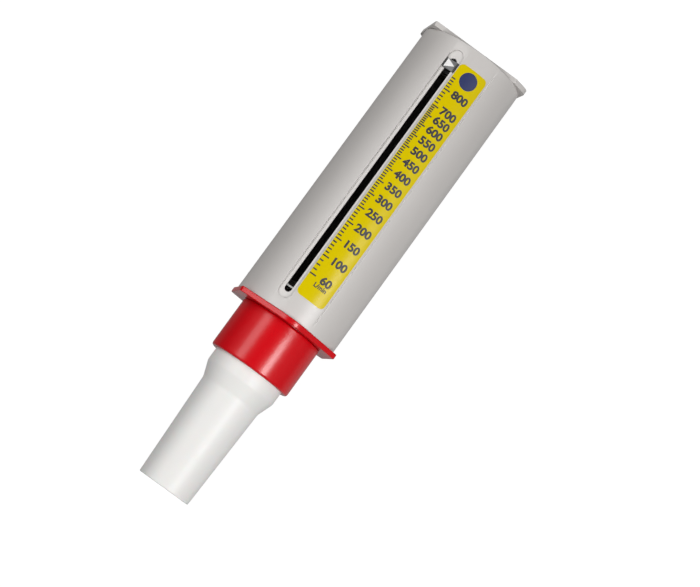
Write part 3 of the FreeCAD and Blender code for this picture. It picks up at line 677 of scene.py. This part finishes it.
def shader(name, colour, rough=0.4, spread=0.06, grain=900.0, bump=0.02, metal=0.0, specular=0.5, mottle=0.03,
           soft=0.0):
    """A procedural finish on Object coordinates: mottled colour, uneven roughness, and a fine relief.

    The grain is the relief's scale, the bump its height in millimetres, and the mottle a share of the colour.
    """
    made = bpy.data.materials.new(name)
    made.use_nodes = True
    tree = made.node_tree
    place = node(tree, "ShaderNodeTexCoord").outputs["Object"]
    broad = node(tree, "ShaderNodeTexNoise", {"Vector": place, "Scale": 45.0, "Detail": 4.0})
    fine = node(tree, "ShaderNodeTexNoise", {"Vector": place, "Scale": grain, "Detail": 3.0})
    ramp = node(tree, "ShaderNodeValToRGB", {"Fac": broad})
    for element, position, share in zip(ramp.color_ramp.elements, (0.3, 0.7), (1 - mottle, 1 + mottle)):
        element.position = position
        element.color = [min(1.0, channel * share) for channel in colour] + [1.0]
    fill(tree, tree.nodes["Principled BSDF"], {
        "Base Color": ramp,
        "Metallic": metal,
        "Roughness": node(tree, "ShaderNodeMapRange", {
            "Value": fine, "To Min": max(0.0, rough - spread), "To Max": min(1.0, rough + spread),
        }),
        "Normal": node(tree, "ShaderNodeBump", {"Height": fine, "Strength": 1.0, "Distance": bump * MM}),
        "Specular IOR Level": specular,
        "Subsurface Weight": soft,
        "Subsurface Scale": MM,
    })
    return made


def grey_plastic(name, colour, rough=0.38, specular=0.6):
    """The pale plastic of the tube and the far plate."""
    return shader(name, colour, rough=rough, bump=0.012, grain=1400.0, specular=specular, mottle=0.012)


class METER_OT_tube(bpy.types.Operator):
    """Make the grey tube with its slot, sunk track and fine groove"""
    bl_idname = "meter.tube"
    bl_label = "Tube"

    def execute(self, context):
        sizes = context.scene.meter_tube
        bore = TUBE_RADIUS - sizes.wall
        floor = TUBE_RADIUS - sizes.track_depth
        above = TUBE_RADIUS + sizes.wall
        below = bore - sizes.wall

        def cutter(name, before, past, width, low, high, angle, steps=12):
            """A block with round ends, from before the slot to past it."""
            outline = racetrack(sizes.slot_start - before, sizes.slot_end + past, width, steps)
            return prism(name, outline, low, high, angle)

        made = lathe("tube", rounded([
            (0.0, bore), (0.0, TUBE_RADIUS), (TUBE_LENGTH, TUBE_RADIUS), (TUBE_LENGTH, bore),
        ], sizes.edge, (1, 2)))
        near, far = sizes.track_near, sizes.track_far
        cut(made,
            cutter("track_cutter", near, far, sizes.track_width, floor, above, sizes.slot_angle),
            cutter("slot_cutter", 0.0, 0.0, sizes.slot_width, below, above, sizes.slot_angle),
            cutter("groove_cutter", near, far, sizes.line_width, TUBE_RADIUS - sizes.line_depth, above,
                   sizes.line_angle, 6),
            cutter("relief_cutter", sizes.relief, sizes.relief, sizes.slot_width + 2 * sizes.relief, below,
                   floor - sizes.lip, sizes.slot_angle))
        modify(made, "edges", "BEVEL", width=sizes.soften, segments=2, limit_method="ANGLE",
               angle_limit=radians(40))
        settle(made, sharp=30.0)
        made.data.materials.clear()
        for finish in (("grey_outside", sizes.colour), ("grey_track", sizes.colour, 0.3, 0.7),
                       ("grey_bore", sizes.bore_colour, 0.6, 0.3)):
            made.data.materials.append(grey_plastic(*finish))
        up, _ = facing(sizes.slot_angle)
        for face in made.data.polygons:
            away = face.center - Vector((face.center.x, 0.0, AXIS))
            if face.normal.dot(up) > 0.995 and abs(away.dot(up) - floor) < NEAR:
                face.material_index = 1
                face.use_smooth = False
            # Faces inside the bore take the darker grey, as painted shade.
            elif away.length < bore + NEAR and face.normal.dot(away) < 0.0:
                face.material_index = 2
        finish_piece(made, None, ["barrel"])
        return {"FINISHED"}


# The scale's calibration: readings in litres a minute, and how far each lies from the seam in millimetres.
CALIBRATION = (
    (60, 18.25), (100, 26.62), (150, 34.79), (200, 42.29), (250, 49.58), (300, 55.97),
    (350, 61.99), (400, 67.83), (450, 73.44), (500, 78.88), (550, 84.02), (600, 88.93),
    (650, 93.42), (700, 97.81), (800, 105.5), (880, 110.8),
)


def reading_place(reading):
    """How far a reading's mark lies from the seam."""
    for (low, start), (high, end) in zip(CALIBRATION, CALIBRATION[1:]):
        if reading <= high:
            return (start + (end - start) * (reading - low) / (high - low)) * MM
    return CALIBRATION[-1][1] * MM


def readings():
    """Every reading that has a mark, with whether the mark is long."""
    values = list(range(60, 701, 10)) + list(range(720, 881, 20))
    return [(reading, reading % 50 == 0 or reading == 60) for reading in values]


def lettering(name, text, size, along, across, radius, angle, depth, stretch=1.0, weight=0.03):
    """Plain type wrapped on the label, read with its top towards the far end."""
    curve = with_settings(bpy.data.curves.new(name, "FONT"), {
        "body": text, "size": size, "align_x": "CENTER", "align_y": "CENTER", "resolution_u": 6,
        "offset": size * weight,
    })
    typed = link(name + "_type", curve)
    mesh = evaluated(typed)
    bpy.data.objects.remove(typed)
    bpy.data.curves.remove(curve)
    bm = bmesh.new()
    bm.from_mesh(mesh)
    bpy.data.meshes.remove(mesh)
    bmesh.ops.remove_doubles(bm, verts=bm.verts, dist=MERGE)
    for vertex in bm.verts:
        vertex.co = Vector((along + vertex.co.y, across + vertex.co.x * stretch, 0.0))
    return sheet(name, bm, radius, angle, depth)


class METER_OT_scale(bpy.types.Operator):
    """Make the yellow label, its marks, numbers and blue disc"""
    bl_idname = "meter.scale"
    bl_label = "Scale"

    def execute(self, context):
        sizes = context.scene.meter_scale
        half = sizes.sweep * TUBE_RADIUS / 2
        under = TUBE_RADIUS + LABEL_GAP
        face = under + sizes.skin + INK_GAP
        label = sheet_from("scale_label_film", round_box(sizes.start, sizes.end, half, sizes.corner), under,
                           sizes.angle, sizes.skin)
        yellow = shader("label_yellow", sizes.colour, rough=0.24, bump=0.004, grain=700.0, mottle=0.015,
                        specular=0.2)
        finish_piece(label, yellow, ["scale_label"])

        ink = shader("label_ink", sizes.ink_colour, rough=0.45, bump=0.004, mottle=0.15)
        rows = readings()
        carrier = bpy.data.meshes.new("marks")
        inner = sizes.mark_inset - half
        carrier.from_pydata([(SEAM + reading_place(reading), inner, 0.0) for reading, _ in rows], [], [])
        lengths = carrier.attributes.new("long", "FLOAT", "POINT")
        lengths.data.foreach_set("value", [float(is_long) for _, is_long in rows])
        marks = link("scale_marks", carrier)
        run_tree(marks, marks_tree(), {
            "Short": sizes.mark_short, "Long": sizes.mark_long, "Width": sizes.mark_width, "Radius": face,
            "Angle": sizes.angle, "Axis height": AXIS, "Thickness": sizes.ink, "Material": ink,
        })
        finish_piece(marks, ink)

        column = sizes.number_place - half
        numbers = []
        for reading in [60] + list(range(100, 701, 50)) + [800]:
            numbers.append(lettering("number_%d" % reading, str(reading), sizes.number_size,
                                     reading_place(reading), column, face, sizes.angle, sizes.ink,
                                     sizes.stretch, sizes.weight))
        numbers.append(lettering("unit", "L/min", sizes.number_size * sizes.unit_share, sizes.unit_place,
                                 column - sizes.unit_shift, face, sizes.angle, sizes.ink))
        finish_piece(joined("scale_numbers", numbers), ink)

        place, radius = sizes.disc_place, sizes.disc_radius
        turns = [2 * pi * index / 64 for index in range(64)]
        circle = [(place + radius * cos(angle), radius * sin(angle)) for angle in turns]
        disc = sheet_from("scale_disc", circle, face, sizes.angle, sizes.ink)
        blue = shader("label_blue", sizes.disc_colour, rough=0.4, bump=0.004, mottle=0.08)
        finish_piece(disc, blue)
        return {"FINISHED"}


def ring_of(name, part, count, first, material):
    """Copies of a part around the axis, as one mesh."""
    part.data.transform(Matrix.Translation((0.0, 0.0, -AXIS)))
    base = link(name, bpy.data.meshes.new(name))
    run_tree(base, circle_tree(), {
        "Part": part, "Count": count, "First angle": first, "Axis height": AXIS, "Material": material,
    })
    discard(part)
    return base


class METER_OT_nozzle(bpy.types.Operator):
    """Make the red nozzle with its collar and six-sided flange"""
    bl_idname = "meter.nozzle"
    bl_label = "Nozzle"

    def execute(self, context):
        sizes = context.scene.meter_nozzle
        shape, edges = six_sided(sizes.flat, sizes.corner, sizes.front)
        spigot = TUBE_RADIUS - context.scene.meter_tube.wall - PUSH_GAP
        inside = spigot - sizes.wall
        floor = -sizes.length + sizes.socket_depth
        groove = spigot - sizes.seal
        seal_start = (sizes.spigot - sizes.seal) / 2
        seal_end = (sizes.spigot + sizes.seal) / 2
        profile = [
            (-sizes.length, sizes.socket), (-sizes.length, sizes.collar), (-sizes.rim, sizes.collar),
            (-sizes.rim, -sizes.inset, shape), (-sizes.rim, 0.0, shape), (0.0, 0.0, shape),
            (0.0, -sizes.inset, shape), (0.0, spigot), (seal_start, spigot), (seal_start, groove),
            (seal_end, groove), (seal_end, spigot), (sizes.spigot, spigot), (sizes.spigot, inside),
            (-sizes.rim / 2, inside), (-sizes.rim / 2, sizes.passage), (floor, sizes.passage),
            (floor, sizes.socket),
        ]
        profile = rounded(profile, sizes.edge, (4, 5, 12))
        profile = rounded(profile, sizes.root, (2,))
        profile = rounded(profile, sizes.mouth_edge, (1,), 6)
        profile = rounded(profile, sizes.edge, (0,))
        shell = lathe("nozzle_shell", profile, edges)
        start, pocket_end = -sizes.hub_start, -sizes.pocket_end
        hub = lathe("hub", [
            (start, ROD_HOLE), (start, sizes.hub), (sizes.hub_end, sizes.hub), (sizes.hub_end, sizes.cup),
            (-sizes.cup_start, sizes.cup), (-sizes.cup_start, sizes.pocket), (pocket_end, sizes.pocket),
            (pocket_end, ROD_HOLE),
        ])
        outline = square_box(start, pocket_end, sizes.arm / 2)
        arm = prism("arm", outline, sizes.arm_inner, sizes.arm_outer, 0.0)
        red = shader("red_shell", sizes.colour, rough=0.25, spread=0.04, bump=0.006, grain=600.0, mottle=0.02)
        arms = ring_of("nozzle_arms", arm, sizes.arms, radians(45), red)
        finish_piece(joined("nozzle_body", [shell, hub, arms]), red, ["nozzle"])
        return {"FINISHED"}


class METER_OT_mouthpiece(bpy.types.Operator):
    """Make the white tapered mouthpiece"""
    bl_idname = "meter.mouthpiece"
    bl_label = "Mouthpiece"

    def execute(self, context):
        sizes = context.scene.meter_mouthpiece
        outside = [
            (-sizes.top, sizes.radius), (-sizes.shoulder_end, sizes.radius),
            (-sizes.shoulder_start, sizes.neck), (-sizes.bottom, sizes.lips),
        ]
        inside = [(along, radius - sizes.wall) for along, radius in reversed(outside)]
        profile = rounded(outside + inside, sizes.bend, (1, 2, 5, 6), 6)
        profile = rounded(profile, sizes.edge, (len(profile) // 2 - 1, len(profile) // 2), 5)
        made = lathe("mouthpiece_tube", profile, sharp=50.0)
        white = shader("white_tube", sizes.colour, rough=0.42, bump=0.008, mottle=0.01, specular=0.4,
                       soft=0.08)
        finish_piece(made, white, ["mouthpiece"], "blow_tube")
        return {"FINISHED"}


class METER_OT_cap(bpy.types.Operator):
    """Make the far plate with its vents"""
    bl_idname = "meter.cap"
    bl_label = "End cap"

    def execute(self, context):
        sizes = context.scene.meter_cap
        hexagon, edges = six_sided(context.scene.meter_nozzle.flat, sizes.corner, sizes.corner)

        def shape(angle):
            """The hexagon with its front corner cut level."""
            away = cos(angle - ROLL)
            whole = hexagon(angle)
            return min(whole, sizes.front / away) if away > 0.1 else whole

        spigot = TUBE_RADIUS - context.scene.meter_tube.wall - FIXED_GAP
        wall = spigot - sizes.wall
        start = TUBE_LENGTH - sizes.spigot
        below = TUBE_LENGTH - sizes.floor
        end = TUBE_LENGTH + sizes.plate
        plate = lathe("plate", rounded([
            (TUBE_LENGTH, sizes.vent_outer), (TUBE_LENGTH, 0.0, shape), (end, 0.0, shape),
            (end, -sizes.inset, shape), (end, sizes.vent_outer),
        ], sizes.edge, (2,)), edges + crossings(shape, hexagon))
        socket = lathe("socket", [
            (start, wall), (start, spigot), (TUBE_LENGTH, spigot), (TUBE_LENGTH, sizes.vent_outer),
            (below, sizes.vent_outer), (below, wall),
        ])
        hub_low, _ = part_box("end_cap")
        hub_start = hub_low.x - SEAM
        nut_floor = end - sizes.nut_depth
        hub = lathe("hub", [
            (hub_start, ROD_HOLE), (hub_start, sizes.hub), (below, sizes.hub), (below, sizes.vent_inner),
            (end, sizes.vent_inner), (end, sizes.nut), (nut_floor, sizes.nut), (nut_floor, ROD_HOLE),
        ])
        bar = prism("bar", square_box(below, end - SINK, sizes.bar / 2),
                    sizes.vent_inner - sizes.bar_sink, sizes.vent_outer + sizes.bar_sink, 0.0)
        grey = grey_plastic("grey_plate", context.scene.meter_tube.colour)
        bars = ring_of("vent_bars", bar, sizes.bars, 0.0, grey)
        finish_piece(joined("end_plate", [plate, socket, hub, bars]), grey, ["end_cap"])
        return {"FINISHED"}


class METER_OT_pointer(bpy.types.Operator):
    """Make the white pointer with its dark sides"""
    bl_idname = "meter.pointer"
    bl_label = "Pointer"

    def execute(self, context):
        sizes = context.scene.meter_pointer
        tube = context.scene.meter_tube
        floor = TUBE_RADIUS - tube.track_depth + PUSH_GAP
        shelf = floor + sizes.base
        near = sizes.place - sizes.length / 2
        far = sizes.place + sizes.length / 2
        half = sizes.width / 2
        base = prism("pointer_base", square_box(near, far, half), floor, shelf, tube.slot_angle)
        reach = sizes.stem_length / 2
        outline = square_box(sizes.place - reach, sizes.place + reach, sizes.stem_width / 2)
        stem = prism("pointer_stem", outline, TUBE_RADIUS - tube.wall - sizes.stem_depth,
                     floor + sizes.stem_sink, tube.slot_angle)
        dark = shader("pointer_dark", sizes.dark, rough=0.5, bump=0.01)
        finish_piece(joined("pointer_low", [base, stem]), dark, ["pointer"], "indicator")

        inner = half - sizes.side
        brow = inner - sizes.slope
        bm = bmesh.new()

        def corners(height, places):
            """Corners of the triangle's block at one height."""
            return [bm.verts.new(on_flat(along, across, height, tube.slot_angle)) for along, across in places]

        foot = corners(shelf - SINK, square_box(near, far, inner))
        peak = corners(shelf + sizes.rise, [
            (near + sizes.end_slope, -brow), (far - sizes.end_slope, -brow), (sizes.place, brow),
        ])
        bm.faces.new(reversed(foot))
        bm.faces.new(peak)
        bm.faces.new((foot[0], foot[1], peak[1], peak[0]))
        flanks = [bm.faces.new(flank) for flank in (
            (foot[1], foot[2], peak[2], peak[1]), (foot[2], foot[3], peak[2]),
            (foot[3], foot[0], peak[0], peak[2]))]
        bmesh.ops.recalc_face_normals(bm, faces=bm.faces)
        # The flanks take the dark grey, as painted shade.
        for face in flanks:
            face.material_index = 1
        top = from_bmesh("pointer_triangle", bm, sharp=20.0)
        top.data.materials.append(shader("pointer_white", sizes.colour, rough=0.35, bump=0.006))
        top.data.materials.append(shader("pointer_facets", sizes.facets, rough=0.5, bump=0.006))
        finish_piece(top, None, body="indicator")
        return {"FINISHED"}


class METER_OT_spring(bpy.types.Operator):
    """Make the spring that draws the piston back"""
    bl_idname = "meter.spring"
    bl_label = "Return spring"

    def execute(self, context):
        sizes = context.scene.meter_spring
        steel = shader("spring_wire", (0.42, 0.42, 0.43), rough=0.3, metal=1.0, grain=2500.0, bump=0.004)
        low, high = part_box("return_spring")
        wire = sizes.wire
        coil = link("return_coil", bpy.data.meshes.new("return_coil"))
        run_tree(coil, coil_tree(), {
            "Turns": sizes.turns, "Length": high.x - low.x - 2 * wire, "Wire radius": wire,
            "Coil radius": (high.y - low.y) / 2 - wire, "Start": (low.x + wire, 0.0, AXIS), "Material": steel,
        })
        coil.data.materials.clear()
        coil.data.materials.append(steel)
        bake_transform(coil)
        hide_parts("return_spring")
        return {"FINISHED"}


# Finishes of the inner pieces: name, colour, roughness, metal, grain, bump, and the pieces that have it.
FITTINGS = (
    ("rod_steel", (0.55, 0.55, 0.54), 0.24, 1.0, 1800.0, 0.004, ("guide_rod", "keeper_pin")),
    ("clip_steel", (0.4, 0.4, 0.41), 0.35, 1.0, 900.0, 0.006, ("rod_clip", "piston_clip")),
    ("turned_brass", (0.66, 0.47, 0.2), 0.28, 1.0, 1500.0, 0.006, ("rod_nut",)),
    # The leaf spring is near black as painted shade, so that the slot below the pointer reads dark.
    ("leaf_steel", (0.05, 0.05, 0.052), 0.55, 1.0, 900.0, 0.004, ("friction_spring",)),
    ("black_rubber", (0.022, 0.022, 0.023), 0.7, 0.0, 900.0, 0.02,
     ("nozzle_seal", "rest_washer", "buffer_ring")),
    ("piston_white", (0.76, 0.76, 0.74), 0.4, 0.0, 900.0, 0.01, ("piston",)),
    ("bearing_resin", (0.02, 0.02, 0.02), 0.6, 0.0, 900.0, 0.01, ("piston_bush", "pointer_keeper")),
)


class METER_OT_fittings(bpy.types.Operator):
    """Give the rod, clips, washers and other inner pieces their finishes"""
    bl_idname = "meter.fittings"
    bl_label = "Inner fittings"

    def execute(self, context):
        for name, colour, rough, metal, grain, bump, pieces in FITTINGS:
            finish = shader(name, colour, rough=rough, metal=metal, grain=grain, bump=bump)
            for piece in pieces:
                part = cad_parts[piece]
                part.data.materials.clear()
                part.data.materials.append(finish)
                part.data.polygons.foreach_set("use_smooth", [True] * len(part.data.polygons))
                modify(part, "weld", "WELD", merge_threshold=1e-6)
                modify(part, "edges", "EDGE_SPLIT", split_angle=radians(30))
        return {"FINISHED"}


# The stage. The camera is where the photograph was taken from, found from the meter's outline.

VIEW_ANGLE = radians(23.15)
CAMERA_PLACE = Vector((-0.10298, -0.31352, 0.75499))
CAMERA_AIM = Vector((-0.0008, -0.01312, 0.01701))
CAMERA_LEAN = radians(54.1)
CAMERA_LENS = 106.97

# Lamps: name, degrees from the view, distance from the axis, middle along it, length, width, power, mirrored.
LAMPS = (
    ("left_box", -40.0, 0.8, 0.05, 0.9, 0.3, 2.7, True),
    ("right_box", 33.0, 0.8, -0.16, 0.56, 0.2, 4.9, True),
    ("left_fill", -62.0, 0.9, 0.12, 0.9, 0.5, 2.2, False),
    ("right_fill", 60.0, 0.9, 0.12, 0.9, 0.5, 1.15, False),
)

# Strengths of the white world: as light, and as shiny pieces mirror it. Glow of the floor at two distances
# beside the meter: as shiny pieces mirror it, and as the camera sees it.
WORLD_LIGHT = 0.05
WORLD_MIRRORED = 0.07
FLOOR_MIRRORED = ((0.035, 0.3), (0.06, 0.04))
FLOOR_SEEN = ((0.25, 0.95), (0.6, 1.0))


def fade(tree, given, first, last):
    """A smooth passage from one (place, amount) to another."""
    return node(tree, "ShaderNodeMapRange", {
        "Value": given, "From Min": first[0], "To Min": first[1], "From Max": last[0], "To Max": last[1],
    }, interpolation_type="SMOOTHSTEP")


def mirrored_rays(tree, rays, amount):
    """The amount for rays that shiny or clear surfaces send on, and none for others."""
    either = maths(tree, "MAXIMUM", rays["Is Glossy Ray"], rays["Is Transmission Ray"])
    return maths(tree, "MULTIPLY", either, amount)


def set_axes(made, right, upward, back, place):
    """Sets an object's three directions and its place."""
    made.matrix_world = Matrix.Translation(place) @ Matrix((right, upward, back)).transposed().to_4x4()


def strip_lamp(name, angle, distance, along, length, width, power, mirrored):
    """A soft box beside the tube's axis, at an angle from straight up, facing the axis."""
    made = link(name, with_settings(bpy.data.lights.new(name, "AREA"), {
        "shape": "RECTANGLE", "size": length, "size_y": width, "energy": power,
    }))
    made.visible_glossy = mirrored
    away, side = facing(angle)
    set_axes(made, Vector((1.0, 0.0, 0.0)), -side, away, Vector((along, 0.0, AXIS)) + away * distance)


class METER_OT_stage(bpy.types.Operator):
    """Make the floor, the lights, the world and the camera"""
    bl_idname = "meter.stage"
    bl_label = "Stage"

    def execute(self, context):
        scene = context.scene
        bm = bmesh.new()
        bmesh.ops.create_grid(bm, x_segments=1, y_segments=1, size=3.0)
        floor = from_bmesh("floor", bm)
        paint = bpy.data.materials.new("floor_white")
        paint.use_nodes = True
        tree = paint.node_tree
        rays = node(tree, "ShaderNodeLightPath").outputs
        place = node(tree, "ShaderNodeTexCoord").outputs["Object"]
        parts = node(tree, "ShaderNodeSeparateXYZ", {0: place}).outputs
        beside = maths(tree, "ABSOLUTE", parts["Y"])
        mirrored = mirrored_rays(tree, rays, fade(tree, beside, *FLOOR_MIRRORED))
        seen = maths(tree, "MULTIPLY", rays["Is Camera Ray"], fade(tree, beside, *FLOOR_SEEN))
        fill(tree, tree.nodes["Principled BSDF"], {
            "Base Color": (0.12, 0.12, 0.12, 1.0),
            "Roughness": 0.9,
            "Specular IOR Level": 0.1,
            "Emission Color": (1.0, 1.0, 1.0, 1.0),
            "Emission Strength": maths(tree, "ADD", seen, mirrored),
        })
        floor.data.materials.append(paint)

        world = bpy.data.worlds.new("studio")
        scene.world = world
        world.use_nodes = True
        tree = world.node_tree
        rays = node(tree, "ShaderNodeLightPath").outputs
        level = maths(tree, "MAXIMUM", rays["Is Camera Ray"], mirrored_rays(tree, rays, WORLD_MIRRORED))
        fill(tree, tree.nodes["Background"], {
            "Color": (1.0, 1.0, 1.0, 1.0),
            "Strength": maths(tree, "MAXIMUM", level, WORLD_LIGHT),
        })

        for name, angle, *sizes in LAMPS:
            strip_lamp(name, VIEW_ANGLE + radians(angle), *sizes)
        back = (CAMERA_PLACE - CAMERA_AIM).normalized()
        along = Vector((1.0, 0.0, 0.0))
        along = (along - back * along.dot(back)).normalized()
        across = back.cross(along)
        right = along * cos(CAMERA_LEAN) - across * sin(CAMERA_LEAN)
        upward = along * sin(CAMERA_LEAN) + across * cos(CAMERA_LEAN)
        viewer = link("camera", with_settings(bpy.data.cameras.new("camera"), {
            "sensor_fit": "HORIZONTAL", "sensor_width": 36.0, "lens": CAMERA_LENS,
        }))
        set_axes(viewer, right, upward, back, CAMERA_PLACE)
        scene.camera = viewer
        scene.view_settings.view_transform = "Standard"
        return {"FINISHED"}


OPERATORS = (
    METER_OT_stage, METER_OT_tube, METER_OT_scale, METER_OT_nozzle, METER_OT_mouthpiece, METER_OT_cap,
    METER_OT_pointer, METER_OT_spring, METER_OT_fittings,
)


class METER_PT_panel(bpy.types.Panel):
    """Lists the meter's pieces"""
    bl_idname = "METER_PT_panel"
    bl_label = "Peak flow meter"
    bl_space_type = "VIEW_3D"
    bl_region_type = "UI"
    bl_category = "Meter"

    def draw(self, context):
        for operator in OPERATORS:
            self.layout.operator(operator.bl_idname)


def register():
    """Registers the sizes, the operators and the panel."""
    for name, group in GROUPS.items():
        bpy.utils.register_class(group)
        setattr(bpy.types.Scene, name, bpy.props.PointerProperty(type=group))
    for operator in OPERATORS:
        bpy.utils.register_class(operator)
    bpy.utils.register_class(METER_PT_panel)


def unregister():
    """Takes them away again."""
    bpy.utils.unregister_class(METER_PT_panel)
    for operator in reversed(OPERATORS):
        bpy.utils.unregister_class(operator)
    for name, group in GROUPS.items():
        delattr(bpy.types.Scene, name)
        bpy.utils.unregister_class(group)


def main():
    """Makes every piece."""
    register()
    for operator in OPERATORS:
        family, action = operator.bl_idname.split(".")
        getattr(getattr(bpy.ops, family), action)()


if __name__ == "__main__":
    main()
